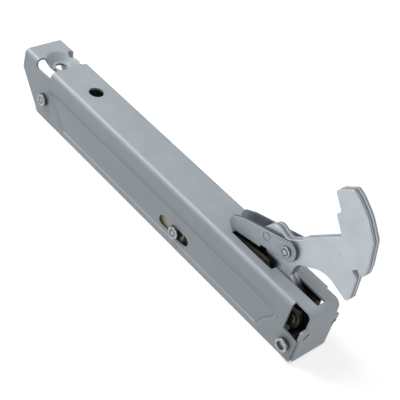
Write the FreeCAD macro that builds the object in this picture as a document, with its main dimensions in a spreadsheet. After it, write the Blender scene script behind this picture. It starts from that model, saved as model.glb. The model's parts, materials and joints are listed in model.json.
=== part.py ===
import FreeCAD, Part
import math
import os
import re
import Sketcher
from FreeCAD import Placement, Rotation, Vector

# Oven door hinge, in millimetres.
# X runs from the rear end to the front end, Y across the channel, Z up from the flanges' lower edges.
# The near side is the one at negative Y. The door arm stands up out of the front end.

# Sizes

SIZES = {
    # Channel folded from one sheet, open below
    "housing_length": 217,
    "housing_width": 24,
    "housing_height": 30,
    "sheet_thickness": 1.2,
    "fold_round": 2.6,
    "front_fold_round": 4.0,
    "overall_reach": 226.76,
    "rear_cut_height": 18.7,
    "rear_cut_length": 17.1,
    # Front flap, its ears and the cheeks behind it
    "flap_half_width": 11.1,
    "flap_foot": 0.5,
    "flap_foot_round": 1.0,
    "cheek_gap": 0.1,
    "ear_low": 14.8,
    "ear_high": 20.6,
    "ear_inner": 9.3,
    "ear_half_span": 12.6,
    "ear_round": 0.8,
    "window_inner": 9.3,
    # Slanted slits lanced beside the ears
    "near_slit_middle": -7.9,
    "far_slit_middle": 11.3,
    "slit_middle_height": 15.8,
    "slit_length": 3.8,
    "slit_width": 1.2,
    "slit_slope": 40,
    # Opening and slot for the arm
    "opening_rear": 159.5,
    "opening_length": 27.1,
    "opening_half_width": 5.9,
    "opening_round": 0.6,
    "slot_half_width": 2.74,
    "slot_setback": 3.8,
    # Dished screw hole and plain top hole
    "bowl_x": 16.5,
    "bowl_rim_radius": 8.5,
    "bowl_floor_radius": 4.5,
    "bowl_depth": 4.0,
    "bowl_hole_radius": 3.0,
    "bowl_rim_round": 2.0,
    "bowl_floor_round": 0.9,
    "bowl_wall_shift": 0.5,
    "top_hole_x": 47,
    "top_hole_radius": 4.0,
    # Rear windows across the long folds
    "rear_window_low": 24.8,
    "rear_window_rise": 0.6,
    "rear_window_round": 1.6,
    # Pressed side panels
    "panel_depth": 0.45,
    # Long side slots
    "side_slot_rear": 120,
    "side_slot_length": 21.8,
    "side_slot_height": 6.1,
    "side_slot_end_flat": 0.01,
    # How far a cut runs past the metal
    "cut_margin": 1,
    # Rivets through the channel
    "pivot_head_proud": 2.6,
    "anchor_head_proud": 2.2,
    "slide_head_proud": 1.2,
    "head_gap": 0.05,
    "pivot_setback": 6.6,
    "pivot_height": 7.4,
    "pivot_shank_radius": 3.0,
    "pivot_head_radius": 3.65,
    "pivot_neck_radius": 3.2,
    "pivot_neck_length": 1.4,
    "pivot_recess_radius": 2.2,
    "pivot_recess_depth": 1.5,
    "anchor_x": 21.1,
    "anchor_height": 11.2,
    "anchor_shank_radius": 2.6,
    "anchor_head_radius": 3.43,
    "slide_x": 131.9,
    "slide_height": 8.3,
    "slide_shank_radius": 2.95,
    "slide_head_radius": 3.35,
    "ring_inner": 1.35,
    "ring_outer": 1.85,
    "ring_depth": 0.3,
    "head_round": 0.45,
    "running_gap": 0.05,
    "face_gap": 0.05,
    # Arm of two laminated plates, and its crank pin
    "plate_thickness": 2.5,
    "plate_edge_round": 0.25,
    "crank_radius": 11.4,
    "crank_angle": 111.6,
    "crank_shank_radius": 2.0,
    "crank_head_radius": 3.2,
    "crank_head_thickness": 1.1,
    "crank_spacer_radius": 3.1,
    "pivot_spacer_radius": 4.4,
    "anchor_spacer_radius": 4.2,
    # Links between the crank pin and the slide pin
    "link_inner": 5.4,
    "link_thickness": 2.0,
    "link_play": 0.3,
    "link_front_radius": 4.4,
    "link_rear_radius": 5.6,
    "link_end_roundness": 0.9,
    "link_belly": 6.6,
    "link_belly_share": 0.3,
    "link_belly_round": 20,
    "link_neck": 6.0,
    "link_neck_share": 0.8,
    "link_neck_round": 12,
    "link_spacer_radius": 4.6,
    # Yoke of folded strap, and the washers beside it
    "yoke_inner": 8.2,
    "yoke_thickness": 1.5,
    "yoke_height": 10.0,
    "yoke_rear_reach": 27.9,
    "yoke_front_reach": 4.8,
    "yoke_fold_round": 3.0,
    "yoke_hole_radius": 3.1,
    "link_washer_radius": 4.8,
    "slide_washer_radius": 3.9,
    # Extension spring and its two plugs
    "spring_outer_radius": 7.4,
    "spring_wire_radius": 1.15,
    "spring_axis_height": 9.0,
    "spring_rear": 33.0,
    "spring_turns": 22,
    "spring_pitch": 2.85,
    "spring_runs_a_turn": 12,
    "plug_play": 0.1,
    "plug_grip": 12.0,
    "plug_shoulder": 3.0,
    "tang_half_thickness": 3.5,
    "tang_radius": 4.8,
    "tang_roundness": 0.9,
    "tang_front_share": 0.9,
    "plug_neck_radius": 3.0,
    "plug_button_radius": 4.6,
    "plug_button_thickness": 3.0,
    # Lock clip folded round the arm, and its rivet
    "clip_behind_pivot": 20.9,
    "clip_above_pivot": 35.8,
    "clip_half_width": 4.5,
    "clip_thickness": 1.5,
    "clip_web_front": -13.9,
    "clip_slope_share": 1.025,
    "clip_edge_round": 0.5,
    "clip_shank_radius": 1.8,
    "clip_head_radius": 2.8,
    "clip_head_proud": 0.9,
    "detent_behind": 12.2,
    "detent_below": 1.2,
    "detent_radius": 2.2,
    "detent_groove": 0.35,
    "detent_depth": 0.25,
}

# Corners of each outline: ahead, up, rounding radius
CORNERS = {
    # Measured from the pivot's axis
    "arm": {
        "tip": (-11.3, 79.5, 1.6),
        "crown": (-3.9, 85.1, 1.5),
        "brow": (-0.2, 83.5, 10),
        "forehead": (6.9, 78.5, 20),
        "shoulder": (13.7, 70.3, 5),
        "back": (16.2, 58.6, 15),
        "lip": (16.45, 51.5, 1.3),
        "notch_top": (12.6, 54.0, 0.4),
        "notch_low": (10.3, 52.0, 0.6),
        "nose": (13.5, 49.0, 1.6),
        "hook_tip": (14.8, 35.6, 1.6),
        "throat_top": (-0.6, 40.9, 13),
        "throat_rear": (-14.7, 32.4, 6),
        "heel": (-15.8, 24.8, 2),
        "root_top": (-8.1, 18.6, 4),
        "root_front": (-4.2, 17.3, 2),
        "eye_front": (8.66, -5.0, 4.85),
        "eye_rear": (-2.87, -5.0, 4.85),
        "root_rear": (-10.8, 8.6, 6),
        "root_step": (-26.9, 20.1, 6),
        "lobe_low": (-33.8, 28.1, 4),
        "lobe_rear": (-37.2, 36.2, 2),
        "lobe_top": (-31.7, 42.5, 4),
        "valley": (-23.8, 39.6, 3),
        "step_low": (-16.4, 45.7, 0),
        "step_top": (-16.7, 46.6, 0),
        "neck": (-0.1, 62.2, 1.2),
        "chin_low": (-6.6, 69.8, 0.8),
        "chin": (-5.0, 72.4, 0.8),
    },
    # Measured from the clip rivet's axis
    "clip": {
        "rear_top": (-33.5, -6.0, 2.5),
        "crest": (-26.9, -2.7, 6),
        "nose_top": (5.3, 7.3, 4.5),
        "nose_low": (5.3, -3.6, 4),
        "step_top": (-13.6, -8.0, 0.4),
        "step_low": (-13.6, -9.4, 0.4),
        "foot": (-32.1, -13.2, 1.8),
        "rear_low": (-34.4, -9.8, 3),
    },
    # Measured from the front end and the flanges' lower edges
    "window": {
        "rear_top": (-10.3, 31.0, 0),
        "rear_low": (-10.3, 14.1, 0.8),
        "front_low": (-1.25, 12.5, 0),
        "front_high": (-1.25, 20.9, 0),
        "outer_high": (1.0, 20.9, 0),
        "outer_top": (1.0, 31.0, 0),
    },
    # Plan of a rear window, measured from the rear end and out from the middle plane
    "rear_window": {
        "rear_relief": (10.7, 7.3, 1.4),
        "lip_start": (13.9, 6.7, 1.2),
        "lip_rear": (17.2, 8.2, 3),
        "lip_front": (21.0, 8.3, 1),
        "front_relief": (22.0, 7.1, 0.7),
        "front_corner": (23.8, 8.3, 0.8),
    },
}

# Pressed panel, from the front end: outer line ahead and up, inner line ahead and up, rounding radii
PANEL_NOSE = {
    "foot": (-21.0, 0.0, -25.0, 3.0, 0, 0.6),
    "waist": (-21.1, 8.0, -23.0, 6.6, 5, 4),
    "lip_low": (-15.2, 14.6, -17.6, 14.0, 2.5, 2),
    "lip_high": (-16.0, 21.0, -17.4, 18.4, 2, 1),
}
# Pressed panel, from the rear end
PANEL_REAR = {
    "heel_high": (25.6, 20.6, 27.6, 18.4, 1, 1),
    "heel_low": (23.4, 17.4, 25.6, 17.2, 0.6, 0.6),
    "heel_foot": (40.8, 0.0, 40.4, 3.0, 0, 0.6),
}


# The document and its sheet of sizes

doc = FreeCAD.newDocument("oven_door_hinge")
sheet = doc.addObject("Spreadsheet::Sheet", "Sizes")
pieces = []


def fill_sheet():
    rows = dict(SIZES)
    for outline_name, corners in CORNERS.items():
        for corner, sizes in corners.items():
            for word, size in zip(("ahead", "up", "round"), sizes):
                rows[f"{outline_name}_{corner}_{word}"] = size
    for corner, sizes in {**PANEL_NOSE, **PANEL_REAR}.items():
        words = ("outer_ahead", "outer_up", "inner_ahead", "inner_up", "outer_round", "inner_round")
        for word, size in zip(words, sizes):
            rows[f"panel_{corner}_{word}"] = size
    for row, (name, size) in enumerate(rows.items(), start=1):
        sheet.set(f"A{row}", name)
        sheet.set(f"B{row}", str(size))
        sheet.setAlias(f"B{row}", name)
    doc.recompute()


def named_size(word):
    return f"Sizes.{word}" if sheet.getCellFromAlias(word) else word


def sized(text):
    """Turn size names into expressions: words that name a size are looked up in the sheet."""
    return re.sub("[a-z_]+", lambda word: named_size(word.group()), text)


def value(text):
    number = sheet.evalExpression(sized(text).replace("Sizes.", ""))
    return float(getattr(number, "Value", number))


fill_sheet()

# Places that several pieces share

REAR_END = "0 - overall_reach / 2"
PIVOT_X = "housing_length - pivot_setback"
HALF_WIDTH = "housing_width / 2"
INNER_HALF = "( housing_width / 2 - sheet_thickness )"
CRANK_AHEAD = "crank_radius * cos( crank_angle )"
CRANK_UP = "crank_radius * sin( crank_angle )"
PANEL_INNER_HALF = "( housing_width / 2 - sheet_thickness - panel_depth )"


# Helpers for bodies, sketches and features

def new_body(name, x="0", y="0", z="0"):
    body = doc.addObject("PartDesign::Body", name)
    body.Label = name
    body.setExpression("Placement.Base.x", sized(f"{REAR_END} + {x}"))
    body.setExpression("Placement.Base.y", sized(y))
    body.setExpression("Placement.Base.z", sized(z))
    pieces.append(body)
    return body


def origin_plane(body, role):
    return next(item for item in body.Origin.OriginFeatures if item.Role == role)


def new_sketch(body, name, role, offset=None, shift=None):
    sketch = body.newObject("Sketcher::SketchObject", name)
    sketch.AttachmentSupport = [(origin_plane(body, role), "")]
    sketch.MapMode = "FlatFace"
    if offset is not None:
        sketch.setExpression("AttachmentOffset.Base.z", sized(offset))
    if shift is not None:
        sketch.setExpression("AttachmentOffset.Base.x", sized(shift))
    return sketch


def pin_point(sketch, geometry, point, across, up, bound):
    """Hold one point at its place and remember which sizes hold it."""
    bound.append((Sketcher.Constraint("DistanceX", geometry, point, value(across)), across))
    bound.append((Sketcher.Constraint("DistanceY", geometry, point, value(up)), up))


def add_bound(sketch, free, bound):
    sketch.addConstraint(free)
    for constraint, text in bound:
        index = sketch.addConstraint(constraint)
        sketch.setExpression(f"Constraints[{index}]", sized(text))


def outline(sketch, corners):
    """Draw a closed outline. Each corner is (across, up) or (across, up, round)."""
    corners = [corner if len(corner) == 3 else (*corner, "0") for corner in corners]
    points = [Vector(value(across), value(up), 0) for across, up, _ in corners]
    radii = [value(text) for _, _, text in corners]
    count = len(corners)
    ends = []
    for i, point in enumerate(points):
        back = (points[i - 1] - point).normalize()
        ahead = (points[(i + 1) % count] - point).normalize()
        half = math.acos(max(-1, min(1, back.dot(ahead)))) / 2
        reach = radii[i] / math.tan(half)
        centre = point
        if radii[i] > 0:
            centre = point + (back + ahead).normalize() * (radii[i] / math.sin(half))
        ends.append((point + back * reach, point + ahead * reach, centre))
    lines = []
    for i in range(count):
        line = Part.LineSegment(ends[i][1], ends[(i + 1) % count][0])
        lines.append(sketch.addGeometry(line, False))
    free = []
    bound = []
    for i, (across, up, text) in enumerate(corners):
        before = lines[i - 1]
        after = lines[i]
        if radii[i] == 0:
            free.append(Sketcher.Constraint("Coincident", before, 2, after, 1))
            pin_point(sketch, after, 1, across, up, bound)
            continue
        arc_start, arc_end, centre = ends[i]
        turn = (arc_start - points[i - 1]).cross(points[(i + 1) % count] - arc_end).z
        start_angle = math.atan2(arc_start.y - centre.y, arc_start.x - centre.x)
        end_angle = math.atan2(arc_end.y - centre.y, arc_end.x - centre.x)
        before_end, after_start = (1, 2) if turn > 0 else (2, 1)
        if turn < 0:
            start_angle, end_angle = end_angle, start_angle
        circle = Part.Circle(centre, Vector(0, 0, 1), radii[i])
        arc = sketch.addGeometry(Part.ArcOfCircle(circle, start_angle, end_angle), False)
        corner_point = sketch.addGeometry(Part.Point(points[i]), True)
        free.append(Sketcher.Constraint("Tangent", before, 2, arc, before_end))
        free.append(Sketcher.Constraint("Tangent", arc, after_start, after, 1))
        free.append(Sketcher.Constraint("PointOnObject", corner_point, 1, before))
        free.append(Sketcher.Constraint("PointOnObject", corner_point, 1, after))
        pin_point(sketch, corner_point, 1, across, up, bound)
        bound.append((Sketcher.Constraint("Radius", arc, radii[i]), text))
    add_bound(sketch, free, bound)


def circle(sketch, across, up, radius):
    centre = Vector(value(across), value(up), 0)
    ring = sketch.addGeometry(Part.Circle(centre, Vector(0, 0, 1), value(radius)), False)
    bound = []
    pin_point(sketch, ring, 3, across, up, bound)
    bound.append((Sketcher.Constraint("Radius", ring, value(radius)), radius))
    add_bound(sketch, [], bound)


def rectangle(sketch, left, right, low, high, round_size="0"):
    outline(sketch, [(left, low, round_size), (right, low, round_size),
                     (right, high, round_size), (left, high, round_size)])


def named_corners(outline_name, ahead_of="0", above="0"):
    """List a named outline's corners, measured from a given place."""
    return [(f"{ahead_of} + {outline_name}_{corner}_ahead", f"{above} + {outline_name}_{corner}_up",
             f"{outline_name}_{corner}_round") for corner in CORNERS[outline_name]]


def feature(body, kind, name, sketch, length):
    made = body.newObject(f"PartDesign::{kind}", name)
    made.Profile = sketch
    made.setExpression("Length", sized(length))
    sketch.Visibility = False
    return made


def pad(body, name, sketch, length):
    """Thicken a sketch along its normal."""
    made = feature(body, "Pad", name, sketch, length)
    doc.recompute()
    return made


def pocket(body, name, sketch, length):
    """Cut a sketch against its normal, and make sure that it cuts something."""
    before = body.Shape.Volume
    made = feature(body, "Pocket", name, sketch, length)
    doc.recompute()
    if body.Shape.Volume >= before:
        raise RuntimeError(f"{name} cuts nothing")
    return made


def mirror(body, name, originals, role="XZ_Plane"):
    """Repeat features on the other side of the middle plane."""
    made = body.newObject("PartDesign::Mirrored", name)
    made.Originals = originals
    made.MirrorPlane = (origin_plane(body, role), [""])
    body.Tip = made
    doc.recompute()
    return made


def turned(body, name, sketch, axis):
    """Turn a half section about one axis of its sketch."""
    made = body.newObject("PartDesign::Revolution", name)
    made.Profile = sketch
    made.ReferenceAxis = (sketch, [axis])
    made.Angle = 360
    doc.recompute()
    return made


def side_plate(name, corners, inner, thickness, side, x, z):
    """A flat plate across Y, from its inner face outwards. Side is -1 near and 1 far."""
    body = new_body(name, x=x, z=z)
    offset = inner if side < 0 else f"0 - ( {inner} ) - ( {thickness} )"
    sketch = new_sketch(body, name + "_outline", "XZ_Plane", offset=offset)
    outline(sketch, corners)
    plate = pad(body, name + "_plate", sketch, thickness)
    return body, plate


def cross_hole(body, name, across, up, radius):
    """Drill through a body along Y."""
    sketch = new_sketch(body, name + "_circle", "XZ_Plane", offset="housing_width")
    circle(sketch, across, up, radius)
    return pocket(body, name, sketch, "2 * housing_width")


def outer_edges_rounded(body, base, sides, radius):
    """Round the edges of a plate's outermost face on each given side."""
    names = []
    for side in sides:
        flat = {side * face.CenterOfMass.y: f"Face{number}"
                for number, face in enumerate(base.Shape.Faces, start=1)
                if abs(face.normalAt(0, 0).y) > 0.99}
        names.append(flat[max(flat)])
    rounding = body.newObject("PartDesign::Fillet", body.Name + "_edge")
    rounding.Base = (base, names)
    rounding.setExpression("Radius", sized(radius))
    doc.recompute()
    return rounding


def ring(name, inner, outer, hole, radius, side, x, z):
    """A collar or washer across Y, between two distances from the middle plane."""
    body = new_body(name, x=x, z=z)
    offset = inner if side < 0 else f"0 - ( {outer} )"
    sketch = new_sketch(body, name + "_rings", "XZ_Plane", offset=offset)
    circle(sketch, "0", "0", radius)
    circle(sketch, "0", "0", hole)
    pad(body, name + "_ring", sketch, f"{outer} - ( {inner} )")
    return body


RING_GROOVE = [("ring_outer", "0"), ("ring_outer", "ring_depth"),
               ("ring_inner", "ring_depth"), ("ring_inner", "0"), ("0", "0")]
PIVOT_RECESS = [("pivot_recess_radius", "0"), ("pivot_recess_radius", "pivot_recess_depth"),
                ("0", "pivot_recess_depth")]
PLAIN_HEAD = [("0", "0")]


def rivet(name, shank, head, head_inner, head_outer, x, z, neck=(), end_face=RING_GROOVE):
    """A rivet across Y with a head at each end. Its end face is listed as radius and depth."""
    body = new_body(name, x=x, z=z)
    sketch = new_sketch(body, name + "_section", "XY_Plane")
    half = list(neck) or [(shank, head_inner)]
    half += [(head, head_inner), (head, head_outer, "head_round")]
    half += [(radius, f"{head_outer} - {depth}") for radius, depth in end_face]
    lower = [(corner[0], f"0 - ( {corner[1]} )", *corner[2:]) for corner in reversed(half)]
    outline(sketch, lower + half)
    turned(body, name + "_turned", sketch, "V_Axis")
    return body


# The channel

def channel_section(housing):
    sketch = new_sketch(housing, "channel_section", "YZ_Plane")
    outline(sketch, [
        (f"0 - {HALF_WIDTH}", "0"),
        (f"0 - {HALF_WIDTH}", "housing_height", "fold_round"),
        (HALF_WIDTH, "housing_height", "fold_round"),
        (HALF_WIDTH, "0"),
        (INNER_HALF, "0"),
        (INNER_HALF, "housing_height - sheet_thickness", "fold_round - sheet_thickness"),
        (f"0 - {INNER_HALF}", "housing_height - sheet_thickness", "fold_round - sheet_thickness"),
        (f"0 - {INNER_HALF}", "0"),
    ])
    pad(housing, "channel", sketch, "housing_length - front_fold_round")


def foot_edges(shape):
    """Name the two short edges at the flap's lower corners."""
    foot = value("flap_foot")
    reach = value("flap_half_width")
    return [f"Edge{number}" for number, edge in enumerate(shape.Edges, start=1)
            if abs(edge.CenterOfMass.z - foot) < 0.01 and abs(abs(edge.CenterOfMass.y) - reach) < 0.01]


def front_flap(housing):
    fold_start = "housing_length - front_fold_round - sheet_thickness"
    flap_inside = "housing_length - sheet_thickness"
    strip = new_sketch(housing, "flap_section", "XZ_Plane", offset="0 - flap_half_width")
    outline(strip, [
        (fold_start, "housing_height"),
        ("housing_length", "housing_height", "front_fold_round"),
        ("housing_length", "flap_foot"),
        (flap_inside, "flap_foot"),
        (flap_inside, "housing_height - sheet_thickness", "front_fold_round - sheet_thickness"),
        (fold_start, "housing_height - sheet_thickness"),
    ])
    flap = pad(housing, "flap", strip, "2 * flap_half_width")
    foot_corners = housing.newObject("PartDesign::Fillet", "flap_foot_corners")
    foot_corners.Base = (flap, foot_edges(flap.Shape))
    foot_corners.setExpression("Radius", sized("flap_foot_round"))
    doc.recompute()
    cheek = new_sketch(housing, "cheek_outline", "XZ_Plane", offset=INNER_HALF)
    rectangle(cheek, fold_start, "housing_length - sheet_thickness - cheek_gap", "0", "ear_low")
    near_cheek = pad(housing, "near_cheek", cheek, "sheet_thickness")
    ear = new_sketch(housing, "ear_outline", "YZ_Plane", offset=flap_inside)
    outline(ear, [
        ("0 - ear_half_span", "ear_low", "ear_round"),
        ("0 - ear_half_span", "ear_high", "ear_round"),
        ("0 - ear_inner", "ear_high"),
        ("0 - ear_inner", "ear_low"),
    ])
    near_ear = pad(housing, "near_ear", ear, "sheet_thickness")
    mirror(housing, "far_cheek_and_ear", [near_cheek, near_ear])


def slit_corners(middle):
    """A narrow slanted rectangle, turned about its middle."""
    corners = []
    for along, across in (("-1", "-1"), ("1", "-1"), ("1", "1"), ("-1", "1")):
        reach = f"{along} * slit_length / 2"
        aside = f"{across} * slit_width / 2"
        corners.append((f"{middle} + {reach} * cos( slit_slope ) - {aside} * sin( slit_slope )",
                        f"slit_middle_height + {reach} * sin( slit_slope ) + {aside} * cos( slit_slope )"))
    return corners


def front_windows(housing):
    outside = "( ear_half_span + cut_margin )"
    window = new_sketch(housing, "window_outline", "XZ_Plane", offset=outside)
    outline(window, named_corners("window", ahead_of="housing_length"))
    near_window = pocket(housing, "near_window", window, f"{outside} - window_inner")
    mirror(housing, "far_window", [near_window])
    slits = new_sketch(housing, "slit_outlines", "YZ_Plane", offset="housing_length + cut_margin")
    outline(slits, slit_corners("near_slit_middle"))
    outline(slits, slit_corners("far_slit_middle"))
    pocket(housing, "slanted_slits", slits, "cut_margin + sheet_thickness")


def dished_hole(housing):
    drill = new_sketch(housing, "bowl_rim", "XY_Plane", offset="housing_height + cut_margin")
    circle(drill, "bowl_x", "0", "bowl_rim_radius + bowl_rim_round / 2")
    pocket(housing, "bowl_blank", drill, "2 * sheet_thickness + cut_margin")
    floor_top = "housing_height - bowl_depth"
    rim_end = "bowl_rim_radius + bowl_rim_round"
    section = new_sketch(housing, "bowl_section", "XZ_Plane", shift="bowl_x")
    outline(section, [
        ("bowl_hole_radius", f"{floor_top}"),
        ("bowl_floor_radius", f"{floor_top}", "bowl_floor_round"),
        ("bowl_rim_radius", "housing_height", "bowl_rim_round"),
        (rim_end, "housing_height"),
        (rim_end, "housing_height - sheet_thickness"),
        ("bowl_rim_radius + bowl_wall_shift", "housing_height - sheet_thickness",
         "bowl_rim_round - sheet_thickness"),
        ("bowl_floor_radius + bowl_wall_shift", f"{floor_top} - sheet_thickness",
         "bowl_floor_round + sheet_thickness"),
        ("bowl_hole_radius", f"{floor_top} - sheet_thickness"),
    ])
    turned(housing, "bowl", section, "V_Axis")


def top_openings(housing):
    openings = new_sketch(housing, "top_openings_outline", "XY_Plane",
                          offset="housing_height + cut_margin")
    opening_front = "opening_rear + opening_length"
    slot_front = "housing_length - slot_setback"
    outline(openings, [
        ("opening_rear", "0 - opening_half_width", "opening_round"),
        (opening_front, "0 - opening_half_width", "opening_round"),
        (opening_front, "0 - slot_half_width"),
        (slot_front, "0 - slot_half_width"),
        (slot_front, "slot_half_width"),
        (opening_front, "slot_half_width"),
        (opening_front, "opening_half_width", "opening_round"),
        ("opening_rear", "opening_half_width", "opening_round"),
    ])
    circle(openings, "top_hole_x", "0", "top_hole_radius")
    pocket(housing, "top_openings", openings, "2 * sheet_thickness + cut_margin")


def rear_windows(housing):
    above = "housing_height + cut_margin"
    rear = "rear_window_rear_relief_ahead"
    front = "rear_window_front_corner_ahead"
    plan = new_sketch(housing, "rear_window_plan", "XY_Plane", offset=above)
    plan_corners = [(ahead, f"0 - ( {out} )", round_size)
                    for ahead, out, round_size in named_corners("rear_window")]
    outline(plan, [(rear, f"0 - {INNER_HALF}"), *plan_corners, (front, f"0 - {INNER_HALF}")])
    top_cut = pocket(housing, "rear_window_top", plan, "cut_margin + bowl_depth + sheet_thickness")
    side = new_sketch(housing, "rear_window_side", "XZ_Plane", offset=f"{HALF_WIDTH} + cut_margin")
    outline(side, [
        (rear, above),
        (rear, "rear_window_low", "rear_window_round"),
        (front, "rear_window_low + rear_window_rise", "rear_window_round"),
        (front, above),
    ])
    side_cut = pocket(housing, "rear_window_wall", side, "cut_margin + fold_round")
    mirror(housing, "far_rear_window", [top_cut, side_cut])


def panel_line(line):
    """Corners of the pressed panel's outer or inner line."""
    corners = []
    for names, start in ((PANEL_NOSE, "housing_length + "), (PANEL_REAR, "")):
        for corner in names:
            stem = f"panel_{corner}_{line}"
            corners.append((f"{start}{stem}_ahead", f"{stem}_up", f"{stem}_round"))
    return corners


def pressed_panels(housing):
    features = []
    for kind, wide_offset, name in (("SubtractiveLoft", HALF_WIDTH, "panel_press"),
                                    ("AdditiveLoft", INNER_HALF, "panel_bulge")):
        wide = new_sketch(housing, name + "_outer_line", "XZ_Plane", offset=wide_offset)
        outline(wide, panel_line("outer"))
        narrow = new_sketch(housing, name + "_inner_line", "XZ_Plane",
                            offset=f"{wide_offset} - panel_depth")
        outline(narrow, panel_line("inner"))
        loft = housing.newObject(f"PartDesign::{kind}", name)
        loft.Profile = wide
        loft.Sections = [narrow]
        loft.Ruled = True
        doc.recompute()
        features.append(loft)
    mirror(housing, "far_panel", features)


def side_holes(housing):
    outside = f"{HALF_WIDTH} + cut_margin"
    across = "housing_width + 2 * cut_margin"
    slot = new_sketch(housing, "side_slot_outline", "XZ_Plane", offset=outside)
    low = "slide_height - side_slot_height / 2"
    high = "slide_height + side_slot_height / 2"
    rectangle(slot, "side_slot_rear", "side_slot_rear + side_slot_length", low, high,
              "( side_slot_height - side_slot_end_flat ) / 2")
    pocket(housing, "side_slots", slot, across)
    rivets = new_sketch(housing, "rivet_holes_outline", "XZ_Plane", offset=outside)
    circle(rivets, PIVOT_X, "pivot_height", "pivot_shank_radius + face_gap / 2")
    circle(rivets, "anchor_x", "anchor_height", "anchor_shank_radius + face_gap / 2")
    pocket(housing, "rivet_holes", rivets, across)


def rear_cut(housing):
    cut = new_sketch(housing, "rear_cut_outline", "XZ_Plane", offset=f"{HALF_WIDTH} + cut_margin")
    below = "0 - cut_margin"
    outline(cut, [(below, "rear_cut_height"), ("0", "rear_cut_height"), ("rear_cut_length", "0"),
                  ("rear_cut_length", below), (below, below)])
    pocket(housing, "rear_cut", cut, "housing_width + 2 * cut_margin")


def housing():
    body = new_body("housing")
    channel_section(body)
    front_flap(body)
    front_windows(body)
    pressed_panels(body)
    dished_hole(body)
    top_openings(body)
    rear_windows(body)
    side_holes(body)
    rear_cut(body)


# Rivets and collars held by the channel

def frame_rivets():
    neck_end = f"( {HALF_WIDTH} + pivot_neck_length )"
    neck = [("pivot_shank_radius", HALF_WIDTH), ("pivot_neck_radius", HALF_WIDTH),
            ("pivot_neck_radius", neck_end)]
    rivet("pivot_pin", "pivot_shank_radius", "pivot_head_radius", neck_end,
          f"( {HALF_WIDTH} + pivot_head_proud )", PIVOT_X, "pivot_height", neck, PIVOT_RECESS)
    rivet("anchor_pin", "anchor_shank_radius", "anchor_head_radius", HALF_WIDTH,
          f"( {HALF_WIDTH} + anchor_head_proud )", "anchor_x", "anchor_height")
    rivet("slide_pin", "slide_shank_radius", "slide_head_radius",
          f"( {HALF_WIDTH} - panel_depth + head_gap )", f"( {HALF_WIDTH} + slide_head_proud )",
          "slide_x", "slide_height")


def collars():
    for side, word in ((-1, "near"), (1, "far")):
        ring(f"pivot_spacer_{word}", "plate_thickness + face_gap", f"{INNER_HALF} - face_gap",
             "pivot_shank_radius + running_gap", "pivot_spacer_radius", side, PIVOT_X, "pivot_height")
        ring(f"anchor_spacer_{word}", "tang_half_thickness + face_gap", f"{INNER_HALF} - face_gap",
             "anchor_shank_radius + running_gap", "anchor_spacer_radius", side,
             "anchor_x", "anchor_height")


# The arm, its crank pin and the clip rivet

def arm():
    for side, word in ((-1, "near"), (1, "far")):
        body, plate = side_plate(f"arm_plate_{word}", named_corners("arm"), "0", "plate_thickness",
                                 side, PIVOT_X, "pivot_height")
        outer_edges_rounded(body, plate, [side], "plate_edge_round")
        cross_hole(body, f"eye_{word}", "0", "0", "pivot_shank_radius + running_gap")
        cross_hole(body, f"crank_hole_{word}", CRANK_AHEAD, CRANK_UP, "crank_shank_radius + face_gap / 2")
        cross_hole(body, f"clip_hole_{word}", "0 - clip_behind_pivot", "clip_above_pivot",
                   "clip_shank_radius + face_gap / 2")
        ring(f"crank_spacer_{word}", "plate_thickness + face_gap", "link_inner - face_gap",
             "crank_shank_radius + face_gap", "crank_spacer_radius", side,
             f"{PIVOT_X} + {CRANK_AHEAD}", f"pivot_height + {CRANK_UP}")
    crank_inner = "( link_inner + link_thickness + 2 * face_gap )"
    rivet("crank_pin", "crank_shank_radius", "crank_head_radius", crank_inner,
          f"( {crank_inner} + crank_head_thickness )", f"{PIVOT_X} + {CRANK_AHEAD}",
          f"pivot_height + {CRANK_UP}", end_face=PLAIN_HEAD)
    clip_outer = "( clip_half_width + face_gap )"
    rivet("clip_rivet", "clip_shank_radius", "clip_head_radius", clip_outer,
          f"( {clip_outer} + clip_head_proud )", f"{PIVOT_X} - clip_behind_pivot",
          "pivot_height + clip_above_pivot")


# The links between the crank pin and the slide pin

def link_corners():
    """A strip with rounded ends and a deep middle, measured from the slide pin's axis."""
    front = f"( {PIVOT_X} + {CRANK_AHEAD} - slide_x )"
    rise = f"( pivot_height + {CRANK_UP} - slide_height )"
    rear_round = "link_rear_radius * link_end_roundness"
    front_round = "link_front_radius * link_end_roundness"
    corners = []
    for side in ("-1", "1"):
        half = [
            ("0 - link_rear_radius", f"{side} * link_rear_radius", rear_round),
            (f"{front} * link_belly_share", f"{rise} * link_belly_share + {side} * link_belly",
             "link_belly_round"),
            (f"{front} * link_neck_share", f"{rise} * link_neck_share + {side} * link_neck",
             "link_neck_round"),
            (f"{front} + link_front_radius", f"{rise} + {side} * link_front_radius", front_round),
        ]
        corners += half if side == "-1" else reversed(half)
    return corners


def links():
    front = f"{PIVOT_X} + {CRANK_AHEAD} - slide_x"
    rise = f"pivot_height + {CRANK_UP} - slide_height"
    for side, word in ((-1, "near"), (1, "far")):
        body, _ = side_plate(f"link_plate_{word}", link_corners(), "link_inner", "link_thickness",
                             side, "slide_x", "slide_height")
        cross_hole(body, f"link_rear_hole_{word}", "0", "0", "slide_shank_radius + running_gap")
        cross_hole(body, f"link_front_hole_{word}", front, rise, "crank_shank_radius + link_play")
    tube = new_body("link_spacer", x="slide_x", z="slide_height")
    sketch = new_sketch(tube, "link_spacer_rings", "XZ_Plane", offset="0 - link_inner + face_gap")
    circle(sketch, "0", "0", "link_spacer_radius")
    circle(sketch, "0", "0", "slide_shank_radius + running_gap")
    pad(tube, "link_spacer_tube", sketch, "2 * ( link_inner - face_gap )")


# The yoke, the washers beside it and the front plug that it pulls

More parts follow.
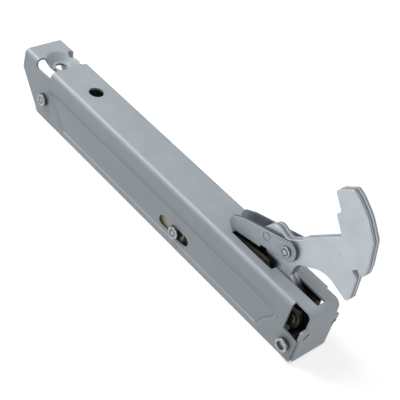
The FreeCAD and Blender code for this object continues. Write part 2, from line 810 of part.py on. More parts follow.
def yoke():
    body = new_body("spring_yoke", x="slide_x", z="slide_height")
    outer = "( yoke_inner + yoke_thickness )"
    plan = new_sketch(body, "yoke_plan", "XY_Plane", offset="0 - yoke_height / 2")
    outline(plan, [
        ("yoke_front_reach", f"0 - {outer}"),
        ("0 - yoke_rear_reach", f"0 - {outer}", "yoke_fold_round"),
        ("0 - yoke_rear_reach", outer, "yoke_fold_round"),
        ("yoke_front_reach", outer),
        ("yoke_front_reach", "yoke_inner"),
        ("0 - yoke_rear_reach + yoke_thickness", "yoke_inner", "yoke_fold_round - yoke_thickness"),
        ("0 - yoke_rear_reach + yoke_thickness", "0 - yoke_inner", "yoke_fold_round - yoke_thickness"),
        ("yoke_front_reach", "0 - yoke_inner"),
    ])
    pad(body, "yoke_strap", plan, "yoke_height")
    cross_hole(body, "yoke_pin_holes", "0", "0", "slide_shank_radius + face_gap / 2")
    web = new_sketch(body, "yoke_web_hole_outline", "YZ_Plane", offset="0")
    circle(web, "0", "spring_axis_height - slide_height", "yoke_hole_radius")
    pocket(body, "yoke_web_hole", web, "yoke_rear_reach + cut_margin")
    for side, word in ((-1, "near"), (1, "far")):
        ring(f"link_washer_{word}", "link_inner + link_thickness + face_gap", "yoke_inner - face_gap",
             "slide_shank_radius + running_gap", "link_washer_radius", side, "slide_x", "slide_height")
        ring(f"slide_washer_{word}", f"{outer} + face_gap", f"{PANEL_INNER_HALF} - face_gap",
             "slide_shank_radius + running_gap", "slide_washer_radius", side, "slide_x", "slide_height")


def spring_plugs():
    grip = "( spring_outer_radius - 2 * spring_wire_radius - plug_play )"
    tang_front = "spring_rear - spring_wire_radius - 2 * plug_play"
    rear = new_body("spring_plug_rear", z="spring_axis_height")
    tang = new_sketch(rear, "tang_outline", "XZ_Plane", offset="0 - tang_half_thickness")
    tang_rear = "anchor_x - tang_radius"
    tang_rise = "anchor_height - spring_axis_height"
    tang_round = "tang_radius * tang_roundness"
    outline(tang, [
        (tang_rear, f"{tang_rise} - tang_radius", tang_round),
        (tang_front, f"0 - {grip} * tang_front_share"),
        (tang_front, f"{grip} * tang_front_share"),
        (tang_rear, f"{tang_rise} + tang_radius", tang_round),
    ])
    pad(rear, "tang", tang, "2 * tang_half_thickness")
    section = new_sketch(rear, "rear_plug_section", "XZ_Plane")
    rectangle(section, "spring_rear - plug_shoulder", "spring_rear + plug_grip", "0", grip)
    turned(rear, "rear_plug", section, "H_Axis")
    cross_hole(rear, "anchor_hole", "anchor_x", "anchor_height - spring_axis_height",
               "anchor_shank_radius + running_gap")
    front = new_body("spring_plug_front", z="spring_axis_height")
    spring_front = "( spring_rear + spring_turns * spring_pitch )"
    web_rear = "( slide_x - yoke_rear_reach )"
    button = f"( {web_rear} + yoke_thickness + face_gap )"
    section = new_sketch(front, "front_plug_section", "XZ_Plane")
    outline(section, [
        (f"{spring_front} - plug_grip", "0"),
        (f"{spring_front} - plug_grip", grip),
        (f"{spring_front} + plug_shoulder", grip),
        (f"{spring_front} + plug_shoulder", "plug_neck_radius"),
        (button, "plug_neck_radius"),
        (button, "plug_button_radius"),
        (f"{button} + plug_button_thickness", "plug_button_radius"),
        (f"{button} + plug_button_thickness", "0"),
    ])
    turned(front, "front_plug", section, "H_Axis")


def coil_points():
    """Corners of the coil's line along X. The middle of each straight run lies at the mean radius."""
    runs = int(value("spring_runs_a_turn"))
    mean_radius = value("spring_outer_radius - spring_wire_radius")
    corner_radius = mean_radius / math.cos(math.pi / runs)
    points = []
    for step in range(int(value("spring_turns") * runs) + 1):
        angle = 2 * math.pi * step / runs
        points.append(Vector(value("spring_pitch") * step / runs,
                             corner_radius * math.cos(angle), corner_radius * math.sin(angle)))
    return points


def spring():
    """Coil of round wire in short runs, screwed over the ends of both plugs."""
    points = coil_points()
    path = doc.addObject("Part::Feature", "spring_path")
    path.Shape = Part.makePolygon(points)
    wire = doc.addObject("Part::Circle", "spring_wire")
    wire.setExpression("Radius", sized("spring_wire_radius"))
    wire.Placement = Placement(points[0], Rotation(Vector(0, 0, 1), points[1] - points[0]))
    swept = doc.addObject("Part::Sweep", "spring")
    swept.Label = "spring"
    swept.Sections = [wire]
    swept.Spine = (path, [])
    swept.Solid = True
    swept.Frenet = False
    swept.Transition = "Right corner"
    swept.setExpression("Placement.Base.x", sized(f"{REAR_END} + spring_rear"))
    swept.setExpression("Placement.Base.z", sized("spring_axis_height"))
    pieces.append(swept)


# The lock clip

def lock_clip():
    body = new_body("lock_clip", x=f"{PIVOT_X} - clip_behind_pivot", z="pivot_height + clip_above_pivot")
    sketch = new_sketch(body, "clip_outline", "XZ_Plane", offset="0 - clip_half_width")
    outline(sketch, named_corners("clip"))
    blank = pad(body, "clip_blank", sketch, "2 * clip_half_width")
    outer_edges_rounded(body, blank, [-1, 1], "clip_edge_round")
    slope = "( clip_step_low_up - clip_foot_up ) / ( clip_step_low_ahead - clip_foot_ahead )"
    floor_start = "( clip_foot_up + clip_thickness * clip_slope_share )"
    cut_rear = "( clip_rear_low_ahead - cut_margin )"
    cut_front = "clip_nose_top_ahead + cut_margin"
    cut_low = "clip_foot_up - cut_margin"
    cut_high = "clip_nose_top_up + cut_margin"
    floor_front = f"{floor_start} + ( clip_web_front - clip_foot_ahead ) * {slope}"
    floor_rear = f"{floor_start} + ( {cut_rear} - clip_foot_ahead ) * {slope}"
    inside = new_sketch(body, "clip_inside_outline", "XZ_Plane",
                        offset="clip_half_width - clip_thickness")
    outline(inside, [
        (cut_rear, floor_rear),
        ("clip_web_front", floor_front),
        ("clip_web_front", cut_low),
        (cut_front, cut_low),
        (cut_front, cut_high),
        (cut_rear, cut_high),
    ])
    pocket(body, "clip_inside", inside, "2 * ( clip_half_width - clip_thickness )")
    cross_hole(body, "clip_rivet_hole", "0", "0", "clip_shank_radius + running_gap")
    detent = new_sketch(body, "detent_rings", "XZ_Plane", offset="clip_half_width + cut_margin")
    circle(detent, "0 - detent_behind", "0 - detent_below", "detent_radius")
    circle(detent, "0 - detent_behind", "0 - detent_below", "detent_radius - detent_groove")
    near_detent = pocket(body, "near_detent", detent, "cut_margin + detent_depth")
    mirror(body, "far_detent", [near_detent])


# Build, check and write every piece

def check_pieces():
    doc.recompute()
    for item in doc.Objects:
        bad = [state for state in item.State if state in ("Invalid", "Error")]
        if bad:
            raise RuntimeError(f"{item.Name} is {bad}")
    for piece in pieces:
        if piece.Shape.isNull() or not piece.Shape.isValid():
            raise RuntimeError(f"{piece.Label} has no sound shape")
        if len(piece.Shape.Solids) != 1:
            raise RuntimeError(f"{piece.Label} has {len(piece.Shape.Solids)} solids")


def write_pieces():
    os.makedirs("parts", exist_ok=True)
    for piece in pieces:
        piece.Shape.exportStep(f"parts/{piece.Label}.step")


housing()
frame_rivets()
collars()
arm()
links()
yoke()
spring_plugs()
spring()
lock_clip()
check_pieces()
write_pieces()
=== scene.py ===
import bpy
import json
import math
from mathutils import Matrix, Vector


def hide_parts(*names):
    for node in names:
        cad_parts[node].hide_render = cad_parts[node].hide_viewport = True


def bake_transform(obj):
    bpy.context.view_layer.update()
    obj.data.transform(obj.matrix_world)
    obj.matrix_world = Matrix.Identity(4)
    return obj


# Oven door hinge: a galvanised channel with a laminated hooked arm and a small lock clip.
# Lengths are in metres, in the frame of the construction.

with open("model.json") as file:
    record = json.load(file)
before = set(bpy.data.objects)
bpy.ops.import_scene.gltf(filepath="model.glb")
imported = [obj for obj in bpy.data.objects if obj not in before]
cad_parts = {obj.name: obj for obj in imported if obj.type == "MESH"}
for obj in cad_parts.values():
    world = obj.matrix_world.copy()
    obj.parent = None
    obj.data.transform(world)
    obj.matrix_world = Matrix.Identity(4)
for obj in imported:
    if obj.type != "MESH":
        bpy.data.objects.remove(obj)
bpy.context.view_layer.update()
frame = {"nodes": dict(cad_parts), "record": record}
nodes = frame["nodes"]

MM = 0.001


# Colour and nodes

def linear(hex_colour):
    """Turn an sRGB hex colour into linear red, green, blue and alpha."""
    parts = [int(hex_colour[i:i + 2], 16) / 255 for i in (1, 3, 5)]
    return [c / 12.92 if c <= 0.04045 else ((c + 0.055) / 1.055) ** 2.4 for c in parts] + [1.0]


def add_node(tree, kind, inputs=None, **settings):
    """Add a node with its settings. An input is a value or another node's output socket."""
    made = tree.nodes.new(kind)
    for name, setting in settings.items():
        setattr(made, name, setting)
    for name, value in (inputs or {}).items():
        if isinstance(value, bpy.types.NodeSocket):
            tree.links.new(value, made.inputs[name])
        else:
            made.inputs[name].default_value = value
    return made


def per_feature(size_mm):
    """Noise scale at which one feature is about this many millimetres across."""
    return 1 / (size_mm * MM)


def new_material(name):
    material = bpy.data.materials.new(name)
    material.use_nodes = True
    tree = material.node_tree
    tree.nodes.clear()
    return material, tree


def object_coordinates(tree, stretch=(1, 1, 1)):
    place = add_node(tree, "ShaderNodeTexCoord").outputs["Object"]
    return add_node(tree, "ShaderNodeMapping", {"Vector": place, "Scale": stretch}).outputs["Vector"]


def noise(tree, size_mm, stretch=(1, 1, 1), detail=3.0, roughness=0.55):
    coordinates = object_coordinates(tree, stretch)
    return add_node(tree, "ShaderNodeTexNoise", {
        "Vector": coordinates, "Scale": per_feature(size_mm), "Detail": detail,
        "Roughness": roughness}).outputs["Fac"]


def spread(tree, value, low, high, to_low=0.0, to_high=1.0):
    """Stretch a value's range on to another range, held at both ends."""
    return add_node(tree, "ShaderNodeMapRange", {
        "Value": value, "From Min": low, "From Max": high,
        "To Min": to_low, "To Max": to_high}).outputs["Result"]


def blend_colours(tree, factor, first, second):
    mix = add_node(tree, "ShaderNodeMix", data_type="RGBA")
    for name, value in (("Factor_Float", factor), ("A_Color", first), ("B_Color", second)):
        socket = next(s for s in mix.inputs if s.identifier == name)
        if isinstance(value, bpy.types.NodeSocket):
            tree.links.new(value, socket)
        else:
            socket.default_value = value
    return next(s for s in mix.outputs if s.identifier == "Result_Color")


def place_parts(tree):
    """The point's own X, Y and Z in metres."""
    place = add_node(tree, "ShaderNodeTexCoord").outputs["Object"]
    return add_node(tree, "ShaderNodeSeparateXYZ", {"Vector": place}).outputs


def combine(tree, operation, first, second):
    return add_node(tree, "ShaderNodeMath", {0: first, 1: second}, operation=operation).outputs["Value"]


def size_of(tree, value):
    return add_node(tree, "ShaderNodeMath", {0: value}, operation="ABSOLUTE").outputs["Value"]


def between(tree, value, rise, fall):
    """1 between two soft limits and 0 outside them. Each limit is a pair of millimetres."""
    return combine(tree, "MULTIPLY", spread(tree, value, rise[0] * MM, rise[1] * MM),
                   spread(tree, value, fall[0] * MM, fall[1] * MM, 1, 0))


def inside_channel(tree):
    """1 on the inner faces of the channel, which are painted darker as shade, and 0 outside.

    The bend into the front flap and the dished hole are left out of the painted shade.
    """
    place = place_parts(tree)
    limits = (
        (size_of(tree, place["Y"]), 10.85 * MM),
        (place["Z"], 28.85 * MM),
        (place["X"], 102.5 * MM),
        (combine(tree, "ADD", place["X"], place["Z"]), 129.9 * MM),
        (combine(tree, "ADD", size_of(tree, place["Y"]), place["Z"]), 38.9 * MM),
        (combine(tree, "SUBTRACT", place["Z"], place["X"]), 113.0 * MM),
    )
    inside = 1.0
    for value, limit in limits:
        inside = combine(tree, "MULTIPLY", inside, spread(tree, value, limit, limit + 0.1 * MM, 1, 0))
    return inside


# Middles of the two slanted slits in the front flap
FLAP_SLITS = (Vector((103.0, -7.9, 15.8)) * MM, Vector((103.0, 11.3, 15.8)) * MM)


def distance_from(tree, centre, weights):
    """Distance of the point from a centre, with each direction counted by its weight."""
    place = add_node(tree, "ShaderNodeTexCoord").outputs["Object"]
    offset = add_node(tree, "ShaderNodeVectorMath", {0: place, 1: centre}, operation="SUBTRACT")
    counted = add_node(tree, "ShaderNodeVectorMath", {0: offset.outputs["Vector"], 1: weights},
                       operation="MULTIPLY")
    return add_node(tree, "ShaderNodeVectorMath", {0: counted.outputs["Vector"]},
                    operation="LENGTH").outputs["Value"]


def slit_walls(tree):
    """1 on the walls of the flap's slits, which are painted near-black as shade, and 0 on the flap's own
    faces.
    """
    depth = place_parts(tree)["X"]
    inside = between(tree, depth, (102.3, 102.4), (103.5, 103.58))
    near = 0.0
    for middle in FLAP_SLITS:
        apart = distance_from(tree, middle, (0, 1, 1))
        near = combine(tree, "MAXIMUM", near, spread(tree, apart, 2.1 * MM, 2.3 * MM, 1, 0))
    return combine(tree, "MULTIPLY", inside, near)


# Pressed side panels, with painted shade along their steps and a painted highlight along the foot. Each
# line's corners are X and Z in millimetres.
PANEL_OUTER_LINE = [(-72.6, 0.0), (-90.0, 17.2), (-89.6, 19.0), (-87.8, 20.6), (86.0, 20.9), (87.2, 20.4),
                    (88.1, 19.2), (88.4, 17.6), (88.3, 15.9), (87.6, 14.4), (86.2, 13.0), (84.4, 11.6),
                    (83.1, 10.2), (82.6, 8.4), (82.6, 0.0)]
PANEL_INNER_LINE = [(-72.9, 3.0), (-87.8, 17.2), (-86.4, 18.4), (85.2, 18.4), (85.9, 18.0), (86.2, 17.2),
                    (86.2, 15.6), (85.5, 13.9), (84.0, 12.4), (82.2, 10.4), (80.9, 8.2), (79.8, 5.4),
                    (78.4, 3.0)]
PANEL_FOOT_LINE = [(-72.9, 3.0), (78.4, 3.0)]


def near_line(tree, corners, half_width_mm):
    """1 along a run of straight lines on the channel's sides, fading to 0 at the half width."""
    place = place_parts(tree)
    flat = add_node(tree, "ShaderNodeCombineXYZ", {"X": place["X"], "Z": place["Z"]}).outputs["Vector"]
    nearest = 1.0
    for start, end in zip(corners, corners[1:]):
        first = Vector((start[0], 0, start[1])) * MM
        run = Vector((end[0], 0, end[1])) * MM - first
        offset = add_node(tree, "ShaderNodeVectorMath", {0: flat, 1: first}, operation="SUBTRACT")
        along = add_node(tree, "ShaderNodeVectorMath", {
            0: offset.outputs["Vector"], 1: run / run.length_squared}, operation="DOT_PRODUCT")
        held = add_node(tree, "ShaderNodeClamp", {"Value": along.outputs["Value"]})
        foot = add_node(tree, "ShaderNodeVectorMath", {0: run, "Scale": held.outputs["Result"]},
                        operation="SCALE")
        apart = add_node(tree, "ShaderNodeVectorMath", {
            0: offset.outputs["Vector"], 1: foot.outputs["Vector"]}, operation="DISTANCE")
        nearest = combine(tree, "MINIMUM", nearest, apart.outputs["Value"])
    line = spread(tree, nearest, 0.35 * half_width_mm * MM, half_width_mm * MM, 1, 0)
    outer_face = spread(tree, size_of(tree, place["Y"]), 11.2 * MM, 11.3 * MM)
    return combine(tree, "MULTIPLY", line, outer_face)


def finish_metal(tree, colour, roughness, height, bump_mm, metallic=1.0):
    bump = add_node(tree, "ShaderNodeBump", {"Height": height, "Distance": bump_mm * MM, "Strength": 1.0})
    shader = add_node(tree, "ShaderNodeBsdfPrincipled", {
        "Base Color": colour, "Roughness": roughness, "Metallic": metallic,
        "Normal": bump.outputs["Normal"]})
    add_node(tree, "ShaderNodeOutputMaterial", {"Surface": shader.outputs["BSDF"]})


# Materials

def galvanised_sheet():
    """Electro-galvanised steel sheet: a soft grey-green satin with faint rolling lines and small scuffs."""
    material, tree = new_material("galvanised_sheet")
    cloud = noise(tree, 14, detail=4)
    rolling = noise(tree, 0.5, (0.04, 1, 1), detail=2)
    grain = noise(tree, 0.35, detail=1)
    colour = blend_colours(tree, spread(tree, cloud, 0.35, 0.65), linear("#9AA1A7"), linear("#A2AAAF"))
    colour = blend_colours(tree, spread(tree, rolling, 0.35, 0.75, 0, 0.35), colour, linear("#959CA0"))
    scuffs = noise(tree, 2.2, detail=6, roughness=0.7)
    colour = blend_colours(tree, spread(tree, scuffs, 0.68, 0.74, 0, 0.6), colour, linear("#5F666A"))
    # Painted shade along the outer and inner panel lines, and a painted highlight along the foot line.
    lines = ((PANEL_OUTER_LINE, 0.25, "#656B70"), (PANEL_INNER_LINE, 0.5, "#5E6468"),
             (PANEL_FOOT_LINE, 0.6, "#DDE1E4"))
    for corners, strength, shade in lines:
        painted_step_line = near_line(tree, corners, 0.4)
        colour = blend_colours(tree, combine(tree, "MULTIPLY", painted_step_line, strength), colour, linear(shade))
    # Painted shade: the channel's inner faces are darkened as if in shade.
    colour = blend_colours(tree, inside_channel(tree), colour, linear("#454B48"))
    # Painted shade: the slit walls are painted near-black.
    colour = blend_colours(tree, slit_walls(tree), colour, linear("#0E0F10"))
    roughness = spread(tree, cloud, 0.3, 0.7, 0.57, 0.67)
    finish_metal(tree, colour, roughness, grain, 0.006, metallic=0.45)
    return material


def cut_edge(tree):
    """1 where the surface is a cut edge of a plate that lies across Y, 0 on its two faces."""
    normal = add_node(tree, "ShaderNodeNewGeometry").outputs["Normal"]
    across = add_node(tree, "ShaderNodeSeparateXYZ", {"Vector": normal}).outputs["Y"]
    return spread(tree, size_of(tree, across), 0.75, 0.5, 0, 1)


def specks(tree, colour, size_mm, least, shade):
    """Small dark marks scattered over a plated face."""
    dots = noise(tree, size_mm, detail=2, roughness=0.6)
    return blend_colours(tree, spread(tree, dots, least, least + 0.05, 0, 0.7), colour, linear(shade))


# Millimetres over which one band of a punched edge turns into the next
BAND_SOFTNESS = 0.15


def punched_steel():
    """Thick zinc-plated plate: satin faces, and punched edges with a burnished and a torn band each.

    The two plates of the arm meet in the middle plane, where a dark line shows between them.
    """
    material, tree = new_material("punched_zinc_plated_plate")
    cloud = noise(tree, 9, detail=4)
    colour = blend_colours(tree, spread(tree, cloud, 0.35, 0.65), linear("#BAC2C8"), linear("#C5CBD0"))
    colour = specks(tree, colour, 1.6, 0.72, "#6A7074")
    place = place_parts(tree)
    ragged = spread(tree, noise(tree, 0.9, (1, 0.3, 1), detail=3), 0.3, 0.7, -0.22 * MM, 0.22 * MM)
    depth = combine(tree, "ADD", place["Y"], ragged)
    edge_colour = linear("#858A90")
    bands = ((-2.45, -1.75, "#BEC3C8"), (-1.2, -0.85, "#9DA2A7"), (0.3, 1.1, "#B4B9BE"),
             (1.9, 2.3, "#999EA3"))
    for low, high, shade in bands:
        band = between(tree, depth, (low, low + BAND_SOFTNESS), (high, high + BAND_SOFTNESS))
        edge_colour = blend_colours(tree, band, edge_colour, linear(shade))
    seam = spread(tree, size_of(tree, place["Y"]), 0.08 * MM, 0.22 * MM, 1, 0)
    edge_colour = blend_colours(tree, seam, edge_colour, linear("#26282B"))
    colour = blend_colours(tree, cut_edge(tree), colour, edge_colour)
    # Painted shade: the arm is darkened below the channel's top edge, and in a wedge under the clip where
    # the clip's shadow falls.
    painted_shade = spread(tree, place["Z"], 31.5 * MM, 28.5 * MM)
    painted_clip_shadow = combine(tree, "MULTIPLY", spread(tree, place["Z"], 34.5 * MM, 32.5 * MM),
                         spread(tree, place["X"], 76 * MM, 72 * MM))
    painted_shade = combine(tree, "MAXIMUM", painted_shade, painted_clip_shadow)
    colour = blend_colours(tree, painted_shade, colour, linear("#2C2F33"))
    grain = noise(tree, 0.3, detail=2)
    roughness = spread(tree, cloud, 0.3, 0.7, 0.40, 0.50)
    finish_metal(tree, colour, roughness, grain, 0.006, metallic=0.8)
    return material


# The clip's rivet, and how far the clip's long edge leans from level
CLIP_RIVET = Vector((76.12, 0, 43.2)) * MM
CLIP_TILT = math.atan2(8.7, 32.2)


def folded_clip_steel():
    """Thin zinc-plated strip: grainy grey satin, cut edges painted darker as shade, and fine tool marks
    along the top rim.
    """
    material, tree = new_material("folded_zinc_plated_strip")
    cloud = noise(tree, 6, detail=4)
    colour = blend_colours(tree, spread(tree, cloud, 0.35, 0.65), linear("#969CA3"), linear("#A4AAB1"))
    colour = specks(tree, colour, 0.9, 0.68, "#5D6368")
    # Painted shade on the cut edges.
    colour = blend_colours(tree, cut_edge(tree), colour, linear("#555A5F"))
    along_rim = add_node(tree, "ShaderNodeMapping", {
        "Vector": add_node(tree, "ShaderNodeTexCoord").outputs["Object"],
        "Location": CLIP_RIVET, "Rotation": (0, -CLIP_TILT, 0)}, vector_type="TEXTURE").outputs["Vector"]
    rim = add_node(tree, "ShaderNodeSeparateXYZ", {"Vector": along_rim}).outputs
    near_top = spread(tree, rim["Z"], 4.3 * MM, 4.8 * MM)
    marked_run = between(tree, rim["X"], (-9.5, -8.5), (4.5, 5.5))
    ticks = add_node(tree, "ShaderNodeMath", {0: rim["X"], 1: 0.75 * MM}, operation="PINGPONG")
    tick = spread(tree, ticks.outputs["Value"], 0.12 * MM, 0.36 * MM, 0.85, 0)
    on_face = combine(tree, "SUBTRACT", 1.0, cut_edge(tree))
    marks = combine(tree, "MULTIPLY", combine(tree, "MULTIPLY", near_top, marked_run), tick)
    marks = combine(tree, "MULTIPLY", marks, on_face)
    colour = blend_colours(tree, marks, colour, linear("#3C4145"))
    grain = noise(tree, 0.5, detail=3)
    roughness = spread(tree, cloud, 0.3, 0.7, 0.42, 0.52)
    finish_metal(tree, colour, roughness, grain, 0.012, metallic=0.75)
    return material


# Axes of the three rivets whose heads have a ring groove
RIVET_AXES = (Vector((18.52, 0, 8.3)) * MM, Vector((-92.28, 0, 11.2)) * MM, CLIP_RIVET)

# Axis of the front rivet, whose heads have a shallow recess
PIVOT_AXIS = Vector((97.02, 0, 7.4)) * MM


def turned_zinc():
    """Turned and plated rivets: bright grey with a little tarnish, and head walls and ring grooves painted
    darker as shade.
    """
    material, tree = new_material("bright_zinc_plated_rivet")
    cloud = noise(tree, 1.2, detail=4)
    colour = blend_colours(tree, spread(tree, cloud, 0.3, 0.7), linear("#7C8184"), linear("#BCC0C2"))
    for axis in RIVET_AXES:
        apart = distance_from(tree, axis, (1, 0, 1))
        # Painted shade in each ring groove.
        groove = between(tree, apart, (1.3, 1.45), (1.8, 1.95))
        colour = blend_colours(tree, combine(tree, "MULTIPLY", groove, 0.75), colour, linear("#2A2C2E"))
    recess = combine(tree, "MULTIPLY",
                     spread(tree, distance_from(tree, PIVOT_AXIS, (1, 0, 1)), 2.1 * MM, 2.2 * MM, 1, 0),
                     spread(tree, size_of(tree, place_parts(tree)["Y"]), 13.3 * MM, 13.4 * MM, 1, 0))
    colour = blend_colours(tree, recess, colour, linear("#D8D6C2"))
    # Painted shade on the side walls of the rivet heads.
    walls = combine(tree, "MULTIPLY", cut_edge(tree), 0.7)
    colour = blend_colours(tree, walls, colour, linear("#303336"))
    roughness = spread(tree, cloud, 0.3, 0.7, 0.26, 0.42)
    finish_metal(tree, colour, roughness, cloud, 0.006, metallic=1.0)
    return material


def yellow_chromate():
    """Yellow-passivated strap: olive and straw tones that drift over the surface, with painted shade on its
    outer face behind the slot and towards its front end.
    """
    material, tree = new_material("yellow_chromate_strap")
    cloud = noise(tree, 5, detail=4)
    colour = blend_colours(tree, spread(tree, cloud, 0.35, 0.65), linear("#CFCCAF"), linear("#DAD7BD"))
    place = place_parts(tree)
    along = place["X"]
    # Painted shade on the outer face where it shows through the slot.
    painted_shade_behind_slot = between(tree, along, (22, 26), (34, 44))
    outer_face = spread(tree, size_of(tree, place["Y"]), 7.25 * MM, 7.35 * MM)
    painted_shade_behind_slot = combine(tree, "MULTIPLY", painted_shade_behind_slot, outer_face)
    colour = blend_colours(tree, painted_shade_behind_slot, colour, linear("#3E4347"))
    # Painted shade towards the front end, inside the channel.
    front = spread(tree, along, 60 * MM, 84 * MM)
    colour = blend_colours(tree, front, colour, linear("#4A463A"))
    roughness = spread(tree, cloud, 0.3, 0.7, 0.36, 0.5)
    finish_metal(tree, colour, roughness, cloud, 0.01, metallic=0.1)
    return material


def sintered_bronze():
    """Oil-filled bronze collars: matt brown metal."""
    material, tree = new_material("sintered_bronze_collar")
    grain = noise(tree, 0.4, detail=3)
    colour = blend_colours(tree, spread(tree, grain, 0.3, 0.7), linear("#6E5A48"), linear("#9A8268"))
    finish_metal(tree, colour, 0.45, grain, 0.01, metallic=0.9)
    return material


def spring_wire():
    """Drawn spring wire, oiled: dark grey with a smooth sheen."""
    material, tree = new_material("oiled_spring_wire")
    cloud = noise(tree, 3, detail=3)
    colour = blend_colours(tree, spread(tree, cloud, 0.3, 0.7), linear("#5B5F63"), linear("#777B7F"))
    finish_metal(tree, colour, 0.33, cloud, 0.005, metallic=1.0)
    return material


def shade_darkened_steel():
    """Plated steel painted dark as shade, for the small parts inside the channel."""
    material, tree = new_material("shade_darkened_plated_steel")
    cloud = noise(tree, 2.5, detail=4)
    colour = blend_colours(tree, spread(tree, cloud, 0.3, 0.7), linear("#3A3B38"), linear("#5A5B55"))
    roughness = spread(tree, cloud, 0.3, 0.7, 0.22, 0.4)
    finish_metal(tree, colour, roughness, cloud, 0.01, metallic=0.9)
    return material


# Small parts inside the channel, painted dark as shade
SHADE_DARKENED_NODES = ("crank_pin", "crank_spacer_near", "crank_spacer_far",
                 "pivot_spacer_near", "pivot_spacer_far", "link_spacer",
                 "slide_washer_near", "slide_washer_far", "link_washer_near", "link_washer_far")


def assign_materials():
    painted_shade = shade_darkened_steel()
    finishes = {
        "galvanised_sheet": galvanised_sheet(),
        "arm_steel": punched_steel(),
        "clip_steel": folded_clip_steel(),
        "zinc_plated_steel": turned_zinc(),
        "yellow_chromate_steel": yellow_chromate(),
        "bronze_collar": sintered_bronze(),
        "spring_wire": spring_wire(),
    }
    for part in frame["record"]["subparts"]:
        thing = nodes[part["node"]]
        thing.data.materials.clear()
        dark = part["node"] in SHADE_DARKENED_NODES
        # Parts inside the channel get the plated steel painted dark as shade.
        thing.data.materials.append(painted_shade if dark else finishes[part["material_slot"]])
    return finishes


# Spring

WIRE_RADIUS = 1.15 * MM
COIL_MEAN_RADIUS = 6.25 * MM
COIL_PITCH = 2.85 * MM
COIL_TURNS = 22
COIL_REAR = Vector((-80.38, 0, 9.0)) * MM
WIRE_SIDES = 14
STEPS_A_TURN = 32


def spring_coil(finish):
    """Round wire wound in smooth turns between the two plugs, in place of the spring part.
    """
    bpy.ops.object.select_all(action="DESELECT")
    bpy.ops.mesh.primitive_circle_add(vertices=WIRE_SIDES, radius=WIRE_RADIUS,
                                      location=(0, COIL_MEAN_RADIUS, 0))
    coil = bpy.context.object
    coil.name = "spring_coil"
    bpy.ops.object.transform_apply(location=True, rotation=False, scale=False)
    winding = coil.modifiers.new("winding", "SCREW")
    winding.axis = "X"
    winding.angle = math.tau
    winding.screw_offset = COIL_PITCH
    winding.iterations = COIL_TURNS
    winding.steps = STEPS_A_TURN
    winding.render_steps = STEPS_A_TURN
    bpy.ops.object.modifier_apply(modifier=winding.name)
    bpy.ops.object.mode_set(mode="EDIT")
    bpy.ops.mesh.select_all(action="SELECT")
    bpy.ops.mesh.remove_doubles(threshold=0.001 * MM)
    bpy.ops.mesh.select_all(action="DESELECT")
    bpy.ops.mesh.select_non_manifold()
    bpy.ops.mesh.fill_holes(sides=0)
    bpy.ops.mesh.select_all(action="SELECT")
    bpy.ops.mesh.normals_make_consistent(inside=False)
    bpy.ops.object.mode_set(mode="OBJECT")
    coil.location = COIL_REAR
    bpy.ops.object.transform_apply(location=True, rotation=False, scale=False)
    bpy.ops.object.shade_smooth_by_angle(angle=math.radians(40))
    coil.data.materials.append(finish)
    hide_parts("spring")
    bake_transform(coil)


# Studio

FLOOR_SIZE = 6
FLOOR_DROP = 0.2 * MM
FLOOR_GLOW = 0.72
ROOM_LIGHT = 0.37
ROOM_SEEN = 1.0


def seen_rays(tree, kinds):
    """1 for the named kinds of ray and 0 for the others."""
    light_path = add_node(tree, "ShaderNodeLightPath").outputs
    seen = light_path[kinds[0]]
    for kind in kinds[1:]:
        seen = combine(tree, "MAXIMUM", seen, light_path[kind])
    return seen


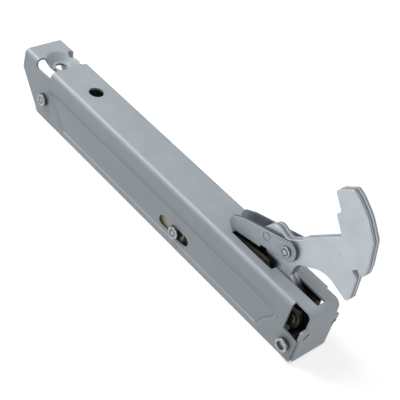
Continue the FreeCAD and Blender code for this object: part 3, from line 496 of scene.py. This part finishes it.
def floor_and_world():
    """A pale floor that keeps the shadow, with painted shade where its glow is left out under the channel,
    and a white room for the metal to reflect.
    """
    bpy.ops.object.select_all(action="DESELECT")
    bpy.ops.mesh.primitive_plane_add(size=FLOOR_SIZE, location=(0, 0, -FLOOR_DROP))
    floor = bpy.context.object
    floor.name = "studio_floor"
    material, tree = new_material("studio_floor_paint")
    seen = seen_rays(tree, ("Is Camera Ray", "Is Glossy Ray"))
    paint = add_node(tree, "ShaderNodeBsdfDiffuse", {"Color": linear("#AEAEAE")})
    place = place_parts(tree)
    # Painted shade: the floor's glow is left out under the channel, so the floor there stays dark.
    beside = spread(tree, size_of(tree, place["Y"]), 9 * MM, 13 * MM)
    ahead = spread(tree, place["X"], 100 * MM, 104 * MM)
    behind = spread(tree, place["X"], -94 * MM, -102 * MM)
    open_floor = combine(tree, "MAXIMUM", combine(tree, "MAXIMUM", beside, ahead), behind)
    glow_strength = combine(tree, "MULTIPLY", open_floor, FLOOR_GLOW)
    glow = add_node(tree, "ShaderNodeEmission", {"Color": [1, 1, 1, 1], "Strength": glow_strength})
    both = add_node(tree, "ShaderNodeAddShader", {0: paint.outputs["BSDF"], 1: glow.outputs["Emission"]})
    mixed = add_node(tree, "ShaderNodeMixShader", {
        0: seen, 1: paint.outputs["BSDF"], 2: both.outputs["Shader"]})
    add_node(tree, "ShaderNodeOutputMaterial", {"Surface": mixed.outputs["Shader"]})
    floor.data.materials.append(material)

    world = bpy.data.worlds.new("studio_room")
    world.use_nodes = True
    bpy.context.scene.world = world
    tree = world.node_tree
    tree.nodes.clear()
    seen = seen_rays(tree, ("Is Camera Ray", "Is Glossy Ray", "Is Transmission Ray"))
    strength = add_node(tree, "ShaderNodeMapRange", {
        "Value": seen, "To Min": ROOM_LIGHT, "To Max": ROOM_SEEN})
    background = add_node(tree, "ShaderNodeBackground", {
        "Color": [1, 1, 1, 1], "Strength": strength.outputs["Result"]})
    add_node(tree, "ShaderNodeOutputWorld", {"Surface": background.outputs["Background"]})


def soft_lamp(name, place, aim, size, watts):
    data = bpy.data.lights.new(name, "AREA")
    data.shape = "SQUARE"
    data.size = size
    data.energy = watts
    lamp = bpy.data.objects.new(name, data)
    bpy.context.scene.collection.objects.link(lamp)
    lamp.location = place
    lamp.rotation_euler = (Vector(aim) - Vector(place)).to_track_quat("-Z", "Y").to_euler()


def camera():
    """Place the camera where the photograph was taken from."""
    data = bpy.data.cameras.new("photo_camera")
    data.lens = 90.05
    data.sensor_width = 36
    data.clip_start = 0.01
    view = bpy.data.objects.new("photo_camera", data)
    view.location = (0.24382, -0.29101, 0.33195)
    view.rotation_euler = [math.radians(angle) for angle in (48.871, -12.972, 48.813)]
    bpy.context.scene.collection.objects.link(view)
    bpy.context.scene.camera = view


camera()
floor_and_world()
soft_lamp("key_softbox", (-0.6, -0.26, 0.8), (0, 0, 0), 0.45, 7.5)
soft_lamp("fill_softbox", (0.8, 0.0, 0.4), (0, 0, 0), 0.4, 0.9)
bpy.context.scene.view_settings.view_transform = "Standard"
finishes = assign_materials()
spring_coil(finishes["spring_wire"])
